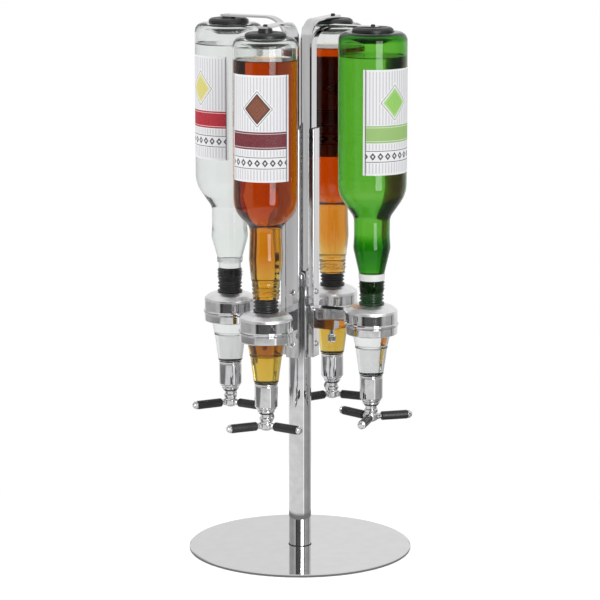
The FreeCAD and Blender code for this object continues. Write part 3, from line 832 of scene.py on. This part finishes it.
def make_stopper(number):
    """The ribbed rubber stopper, and its plug in the bottle mouth."""
    mouth = low(f"bottle_{number}")
    foot = low("stoppers")
    corners = [(0, foot), (13.2, foot), (14.4, foot + 1.2, 0.6)]
    pitch = (mouth - foot - 1.5) / STOPPER_RIBS
    for rib in range(STOPPER_RIBS):
        level = foot + 1.2 + pitch * rib
        outer = 13.6 + 0.3 * rib
        corners += [
            (outer, level + 0.8, 0.6),
            (outer - 1.8, level + 2.0, 0.6),
            (outer - 1.8, level + pitch - 0.6, 0.6),
        ]
    plug = BORE + 0.05
    top = mouth + PLUG_HEIGHT[number]
    corners += [(14.6, mouth - 0.2, 0.4), (plug, mouth), (plug, top - 0.2), (0, top)]
    station_piece("ribbed_stopper", number, turned_mesh("stopper", rounded(corners), 72),
                  STOPPER[number], "stopper_rubber", "stoppers")


def make_bracket(number):
    """The ring that carries a measure, its satin dome with painted light from above, and the arm
    from the rail.
    """
    top = high("brackets")
    foot = high("lock_rings")
    rim = top - RING_SLOPE
    radius = RING_RADIUS
    seam = rim - DOME_SEAM
    ring = turned_mesh("ring", rounded([
        (0, foot),
        (radius + 1.1, foot, 0.4),
        (radius + 1.2, foot + 1.8, 0.6),
        (radius, foot + 3.0, 0.5),
        (radius, seam),
        (0, seam),
    ]))
    dome = turned_mesh("dome", rounded([
        (0, seam + 0.02),
        (radius, seam + 0.02),
        (radius, rim + 0.3, 2.6),
        (23, top - 2.4, 9),
        (16, top - 0.3, 3),
        (0, top - 0.1),
    ]))
    station_piece("bracket_dome", number, dome, satin_chrome_painted_light, "bracket_chrome")
    back = rail_face(number) - math.hypot(*station_axis(number)) / MM
    half = ARM_WIDTH / 2
    block_foot = high("clamp_screws")
    arm_top = rim - ARM_DROP
    step = back + BLOCK_REACH
    plan = [(back, block_foot), (step, block_foot), (step + 1, foot + 2), (ARM_END, foot + 2),
            (ARM_END, arm_top), (back, arm_top)]
    stand = Matrix.Rotation(math.radians(90), 4, "X")
    block = moved(extruded_mesh("block", plan, -half, half, 0.6), stand)
    plate = extruded_mesh("plate", [(back, -half - 0.6), (-24, -half - 0.6), (-24, half + 0.6),
                                    (back, half + 0.6)], arm_top, arm_top + 1.6, 0.5)
    station_piece("bracket_body", number, join_meshes("bracket", [ring, block, plate]),
                  cast_chrome, "bracket_chrome", "brackets")


def make_lock_ring(number):
    """The screwed ring under the bracket's ring."""
    foot, top = low("lock_rings"), high("lock_rings")
    radius = LOCK_RING_RADIUS
    mesh = turned_mesh("lock_ring", rounded([
        (0, top),
        (radius - 0.8, top),
        (radius - 0.8, top - 0.8, 0.3),
        (radius, top - 1.6, 0.4),
        (radius - 0.3, foot + 0.9, 0.8),
        (radius - 1.6, foot, 0.8),
        (21.6, foot),
        (21.6, foot + 1.6, 0.3),
        (0, foot + 1.6),
    ]))
    station_piece("screw_ring", number, mesh, cast_chrome, "ring_chrome", "lock_rings")


def make_measure(number):
    """The clear cone with its line, the spirit above and below the line, and the inner tube."""
    foot, top = low("chambers"), high("chambers")
    line = top - LINE_DROP
    wall = MEASURE_WALL
    outside = rounded([
        (0, foot + 0.1),
        (12.6, foot + 0.1),
        (13.6, foot + 1.2, 0.8),
        (17.4, line - 0.9),
        (18.1, line - 0.5, 0.3),
        (18.1, line + 0.5, 0.3),
        (17.9, line + 0.9),
        (20.8, top),
    ])
    inside = rounded([
        (20.8 - wall, top),
        (17.8 - wall, line + 0.6, 0.3),
        (17.1 - wall, line - 0.6, 0.3),
        (13.4 - wall, foot + 1.2, 1),
        (0, foot + 1.2),
    ])
    station_piece("measure_cone", number, turned_mesh("measure", outside + inside, 80),
                  clear_plastic, "chamber_clear", "chambers")
    overlap = Vector((0.06, 0))
    brim, *sides = [point + overlap if point.x > 0 else point for point in inside]
    above = [point for point in sides if point.y > line - 0.2]
    below = [point for point in sides if point.y < line - 0.2]
    edge = above[-1].x
    upper = [(0, top - 0.3), (brim.x - 0.05, top - 0.3), *above, (edge, line - 0.3),
             (0, line - 0.3)]
    lower = [(0, line - 0.25), (edge, line - 0.25), *below]
    for name, outline, spirit in (("measure_upper_fill", upper, DEEP_SPIRIT),
                                  ("measure_lower_fill", lower, SHALLOW_SPIRIT)):
        station_piece(name, number, turned_mesh("fill", outline, 80), spirit[number],
                      SPIRIT_SLOT[number])
    tube = rounded([
        (0, foot + 1.4),
        (8.0, foot + 1.4, 0.5),
        (9.8, line - 1.5, 0.8),
        (8.0, line - 1.2, 0.3),
        (7.8, line - 2.4, 0.3),
        (0, line - 2.6),
    ])
    station_piece("inner_tube", number, turned_mesh("tube", tube, 64), inner_plastic,
                  "chamber_clear")


def make_barrel(number):
    """The valve barrel, open below for the lever's hub."""
    foot, top = low("barrels"), high("barrels")
    radius, mouth = BARREL_RADIUS, BARREL_BORE
    mesh = turned_mesh("barrel", rounded([
        (mouth, foot + 6),
        (mouth, foot, 0.2),
        (mouth + 1.1, foot, 0.4),
        (mouth + 1.6, foot + 1.6, 0.4),
        (mouth + 1.2, foot + 2.1, 0.2),
        (11.4, foot + 4.4, 0.8),
        (11.4, foot + 5.4, 0.3),
        (radius, foot + 6.6, 0.8),
        (radius, top - 3.4, 0.3),
        (radius - 0.5, top - 3.0, 0.3),
        (radius - 0.5, top - 2.4, 0.3),
        (radius, top - 2.0, 0.3),
        (radius + 0.3, top - 0.4, 0.5),
        (0, top),
    ]), 80)
    station_piece("valve_barrel", number, mesh, cast_chrome, "barrel_chrome", "barrels")


def make_clamp_screw(number):
    """The thumb screw under a bracket arm, with a fluted head."""
    foot, top = low("clamp_screws"), high("clamp_screws")
    offset = high("clamp_screws", 0) - CLAMP_SCREW_RADIUS

    def flutes(angle, level):
        return 0.3 * math.cos(14 * angle) if foot + 1.4 < level < foot + 7.4 else 0

    under = rounded([(0, foot), (3.2, foot + 0.1, 0.8), (4.2, foot + 1.2, 0.4)])
    side = [(4.3, level) for level in ladder(foot + 1.5, foot + 7.3, 1.0)]
    shank = rounded([(4.2, foot + 7.6), (3.4, foot + 8.4), (2.6, foot + 9, 0.4), (2.6, top),
                     (0, top)])
    mesh = turned_mesh("thumb_screw", under + side + shank, 84, swell=flutes)
    lie = at_column(number) @ Matrix.Translation((offset * MM, 0, 0))
    piece(f"thumb_screw_{number}", moved(mesh, lie), cast_chrome, "head", "bracket_chrome",
          "clamp_screws")


# Levers

LEVER_ARMS = 3
# The first arm, turned about the measure from the side away from the column
LEVER_TURN = {1: 80, 2: 40, 3: 31, 4: 53}
ROD_END = 47.0


def radial(number, turn, height):
    """A frame whose Z runs out along a lever rod."""
    return (at_station(number, LEVER_TURN[number] + turn)
            @ Matrix.Translation((0, 0, height * MM))
            @ Matrix.Rotation(math.radians(90), 4, "Y"))


def make_lever(number):
    """The hub that slides in the barrel, with its rods, their sleeves and end caps."""
    node, grips = f"lever_{number}", f"lever_grips_{number}"
    foot = low(node)
    barrel_foot = low("barrels")
    rod_height = (low(grips) + high(grips)) / 2
    hub = turned_mesh("hub", rounded([
        (0, foot),
        (4.6, foot + 0.1, 1.4),
        (7.5, foot + 2.0, 2.2),
        (7.6, rod_height + 2.6, 1.4),
        (6.4, rod_height + 4.0, 0.5),
        (6.4, rod_height + 5.0, 0.4),
        (7.4, rod_height + 5.8, 0.5),
        (7.4, rod_height + 8.4, 0.5),
        (6.3, rod_height + 9.4, 0.5),
        (6.3, barrel_foot - 2.2, 0.3),
        (7.6, barrel_foot - 1.6, 0.4),
        (7.6, barrel_foot + 3.6),
        (0, barrel_foot + 3.6),
    ]), 64)
    seal = turned_mesh("seal", rounded([
        (6.0, barrel_foot - 1.9),
        (8.0, barrel_foot - 1.9, 0.8),
        (8.0, barrel_foot - 0.3, 0.8),
        (6.0, barrel_foot - 0.3),
        (6.0, barrel_foot - 1.1),
    ]), 64, closed=True)
    end = ROD_END
    rod = rounded([
        (0, 5),
        (3.6, 5),
        (3.6, 9.2, 0.6),
        (2.6, 10.2, 0.4),
        (2.6, end - 4),
        (0, end - 4),
    ])
    sleeve = rounded([
        (3.0, 11.6),
        (4.2, 11.6, 0.5),
        (4.9, 12.6, 0.5),
        (4.9, end - 5.6, 0.5),
        (4.4, end - 4.8, 0.3),
        (3.0, end - 4.8),
        (3.0, 30),
    ])
    cap = rounded([
        (0, end - 7),
        (3.1, end - 7),
        (3.1, end - 5.0, 0.2),
        (4.5, end - 4.6, 0.4),
        (4.5, end - 2.2, 0.9),
        (3.2, end - 1.4, 0.4),
        (2.9, end, 0.7),
        (0, end),
    ])
    chrome, sleeves, caps = [moved(hub, at_station(number))], [], []
    for arm in range(LEVER_ARMS):
        lie = radial(number, 360 / LEVER_ARMS * arm, rod_height)
        chrome.append(moved(turned_mesh("rod", rod, 32), lie))
        sleeves.append(moved(turned_mesh("sleeve", sleeve, 48, closed=True), lie))
        caps.append(moved(turned_mesh("cap", cap, 40), lie))
    piece(f"lever_hub_{number}", join_meshes("hub_and_rods", chrome), cast_chrome, node,
          "lever_chrome", node)
    piece(f"lever_seal_{number}", moved(seal, at_station(number)), black_rubber, node, "grip_black")
    piece(f"lever_sleeves_{number}", join_meshes("sleeves", sleeves), sleeve_black, node,
          "grip_black", grips)
    piece(f"lever_caps_{number}", join_meshes("caps", caps), cast_chrome, node, "lever_chrome")


for number in STATIONS:
    make_stopper(number)
    make_bracket(number)
    make_lock_ring(number)
    make_measure(number)
    make_barrel(number)
    make_clamp_screw(number)
    make_lever(number)


# Studio

CAMERA_TURN = 25.1
CAMERA_DISTANCE = 3.0977
CAMERA_HEIGHT = 0.8871
CAMERA_PITCH = 11.01
CAMERA_LENS = 169.65
ROOM_LIGHT = 1.0
# How much of the room's bands shows through clear things
ROOM_THROUGH_GLASS = 0.06
# Brightness round the room by its bearing from the camera, positive to the right
ROOM_BANDS = [(-180, 1.0), (-150, 1.0), (-144, 0.6), (-75, 0.57), (-60, 0.74), (-48, 0.72),
              (-44, 0.2), (-40, 0.05), (-36, 0.05), (-30, 0.13), (15, 0.15), (19, 0.10),
              (38, 0.10), (42, 0.2), (50, 0.66), (60, 0.7), (66, 0.56), (95, 0.58), (98, 0.2),
              (101, 0.2), (104, 0.6), (118, 0.7), (124, 1.05), (180, 1.05)]
# The same for the floor, as polished parts show it; the dim sector to the right, from 43 to 140
# degrees, is painted shadow
FLOOR_BANDS = [(-180, 0.85), (33, 0.80), (35, 1.3), (40, 1.3), (43, 0.42), (110, 0.32),
               (140, 0.6), (180, 0.85)]
FLOOR_LIFT = 0.30
FLOOR_LIFT_FOR_OBJECT = 0.16
# How bright the floor shows to polished parts round the plate: painted shade for the plate's rim to
# mirror
PLATE_RIM_PAINTED_SHADE = 0.22
# Bearing from the camera, height, distance, width and power
LAMPS = {
    "front": (10, 1.6, 1.5, 1.2, 7),
    "left": (-70, 1.2, 1.5, 1.2, 4),
    "back": (-140, 1.5, 1.5, 0.8, 6),
}


def from_camera(bearing, distance, height):
    """A place at a bearing from the camera's side of the stand, and the turn that faces it."""
    turn = math.radians(CAMERA_TURN + bearing)
    return Vector((distance * math.sin(turn), -distance * math.cos(turn), height)), turn


def make_camera():
    data = bpy.data.cameras.new("camera")
    data.lens = CAMERA_LENS
    data.clip_end = 60
    camera = bpy.data.objects.new("camera", data)
    camera.location, turn = from_camera(0, CAMERA_DISTANCE, CAMERA_HEIGHT)
    camera.rotation_euler = (math.radians(90 - CAMERA_PITCH), 0, turn)
    bpy.context.scene.collection.objects.link(camera)
    bpy.context.scene.camera = camera


def ramp(tree, field, stops):
    """A brightness for each stop of a field that runs from 0 to 1."""
    node = tree.nodes.new("ShaderNodeValToRGB")
    marks = node.color_ramp.elements
    while len(marks) < len(stops):
        marks.new(0.5)
    for mark, (place, value) in zip(marks, stops):
        mark.position = place
        mark.color = (value, value, value, 1)
    feed(node.inputs["Fac"], field)
    return Field(tree, node.outputs["Color"])


def bearing_bands(tree, x, y, bands):
    """Brightness by the bearing of x, y from the camera, and how far to its right x, y lies."""
    turn = math.radians(CAMERA_TURN)
    ahead = x * math.sin(turn) - y * math.cos(turn)
    right = x * math.cos(turn) + y * math.sin(turn)
    bearing = right.apply("ARCTAN2", ahead) / (2 * math.pi) + 0.5
    return ramp(tree, bearing, [(angle / 360 + 0.5, value) for angle, value in bands]), right


def ray_kinds(tree):
    """Fields that are 1 for camera rays, for mirrored rays and for rays through glass."""
    path = tree.nodes.new("ShaderNodeLightPath")
    return [Field(tree, path.outputs[name]) for name in (
        "Is Camera Ray", "Is Glossy Ray", "Is Transmission Ray")]


def glow(tree, strength):
    """A white glow, as strong as the field or number says."""
    node = tree.nodes.new("ShaderNodeEmission")
    feed(node.inputs["Strength"], strength)
    return node.outputs[0]


def mixed(tree, share, first, second):
    """The first shader, and the second by its share."""
    node = tree.nodes.new("ShaderNodeMixShader")
    for socket, source in zip(node.inputs, (share, first, second)):
        feed(socket, source)
    return node.outputs[0]


def make_world():
    """Even light, with a room of bright and dark bands for metal and glass to show."""
    world = bpy.data.worlds.new("room")
    bpy.context.scene.world = world
    world.use_nodes = True
    tree = world.node_tree
    tree.nodes.clear()
    x, y, z = axes(tree, "Generated")
    bands, _ = bearing_bands(tree, x, y, ROOM_BANDS)
    overhead = z.spread(0.45, 0.62, 0, 1, smooth=True)
    room = bands * (overhead * -1 + 1) + overhead
    camera, glossy, through = ray_kinds(tree)
    shown = (room - 1) * (glossy + through * ROOM_THROUGH_GLASS).at_most(1) + 1
    seen = camera.at_least(glossy).at_least(through)
    strength = (shown - ROOM_LIGHT) * seen + ROOM_LIGHT
    background = tree.nodes.new("ShaderNodeBackground")
    feed(background.inputs["Strength"], strength)
    output = tree.nodes.new("ShaderNodeOutputWorld")
    feed(output.inputs["Surface"], background.outputs["Background"])
    world.cycles.sampling_method = "NONE"


def floor_look():
    """Pale paint near the stand that fades to white, with bright and dark bands for polished
    parts to show, and painted shade round the plate for its rim to mirror."""
    material = bpy.data.materials.new("floor_look")
    material.use_nodes = True
    tree = material.node_tree
    tree.nodes.clear()
    camera, glossy, _ = ray_kinds(tree)
    diffuse = tree.nodes.new("ShaderNodeBsdfDiffuse")
    cloud = noise(tree, 14, 2).spread(0.3, 0.7, 0, 1)
    feed(diffuse.inputs["Color"], blended(tree, cloud, (0.86, 0.86, 0.86), (0.88, 0.88, 0.88)))
    lift = camera.spread(0, 1, FLOOR_LIFT_FOR_OBJECT, FLOOR_LIFT)
    paint = tree.nodes.new("ShaderNodeAddShader")
    feed(paint.inputs[0], diffuse.outputs[0])
    feed(paint.inputs[1], glow(tree, lift))

    x, y, _ = axes(tree, "Object")
    length = tree.nodes.new("ShaderNodeVectorMath")
    length.operation = "LENGTH"
    feed(length.inputs[0], texture_input(tree, "Object"))
    distance = Field(tree, length.outputs["Value"])
    bands, right = bearing_bands(tree, x, y, FLOOR_BANDS)
    left_edge = right.spread(-0.82, -0.70, 0.25, 1, smooth=True)
    beyond_plate = distance.spread(0.15, 0.17, 0, 1, smooth=True)
    # Round the plate, polished parts see painted shade in place of the bands
    mirrored = (bands * left_edge - PLATE_RIM_PAINTED_SHADE) * beyond_plate + PLATE_RIM_PAINTED_SHADE
    lit = mixed(tree, glossy, paint.outputs[0], glow(tree, mirrored))

    # Far off the floor is white to the camera and open to all other light
    open_air = tree.nodes.new("ShaderNodeBsdfTransparent").outputs[0]
    far = mixed(tree, camera, open_air, glow(tree, 1))
    fade_to_camera = distance.spread(0.28, 0.42, 0, 1, smooth=True) * camera
    fade_to_rest = distance.spread(0.95, 1.15, 0, 1, smooth=True) * (camera * -1 + 1)
    output = tree.nodes.new("ShaderNodeOutputMaterial")
    feed(output.inputs["Surface"], mixed(tree, fade_to_camera + fade_to_rest, lit, far))
    return material


def make_floor():
    """A pale floor that takes the shadow near the stand and runs into the background."""
    build = bmesh.new()
    bmesh.ops.create_grid(build, x_segments=8, y_segments=8, size=20)
    floor = bpy.data.objects.new("floor", finished("floor", build))
    floor.location.z = -0.0002
    bpy.context.scene.collection.objects.link(floor)
    floor.data.materials.append(floor_look())


def make_panel(name, bearing, distance, width, low_edge, high_edge, radiance):
    """A softbox that only shows in what is polished."""
    data = bpy.data.lights.new(name, "AREA")
    data.shape = "RECTANGLE"
    data.size = width
    data.size_y = high_edge - low_edge
    data.energy = radiance * math.pi * data.size * data.size_y
    panel = bpy.data.objects.new(name, data)
    panel.location, turn = from_camera(bearing, distance, (low_edge + high_edge) / 2)
    panel.rotation_euler = (math.radians(90), 0, turn)
    for kind in ("camera", "diffuse", "transmission", "volume_scatter"):
        setattr(panel, "visible_" + kind, False)
    bpy.context.scene.collection.objects.link(panel)


def make_lamp(name, bearing, height, distance, width, power):
    """A soft square lamp aimed at the middle of the stand."""
    data = bpy.data.lights.new(name, "AREA")
    data.shape = "SQUARE"
    data.size = width
    data.energy = power
    lamp = bpy.data.objects.new(name, data)
    lamp.location, _ = from_camera(bearing, distance, height)
    aim = lamp.location - Vector((0, 0, 0.3))
    lamp.rotation_euler = aim.to_track_quat("Z", "Y").to_euler()
    lamp.visible_glossy = False
    lamp.visible_transmission = False
    bpy.context.scene.collection.objects.link(lamp)


make_camera()
make_world()
make_floor()
for name, placing in LAMPS.items():
    make_lamp(name, *placing)
make_panel("right_panel", bearing=22.5, distance=1.5, width=0.56, low_edge=0.04, high_edge=1.3,
           radiance=9)
bpy.context.scene.view_settings.view_transform = "Standard"
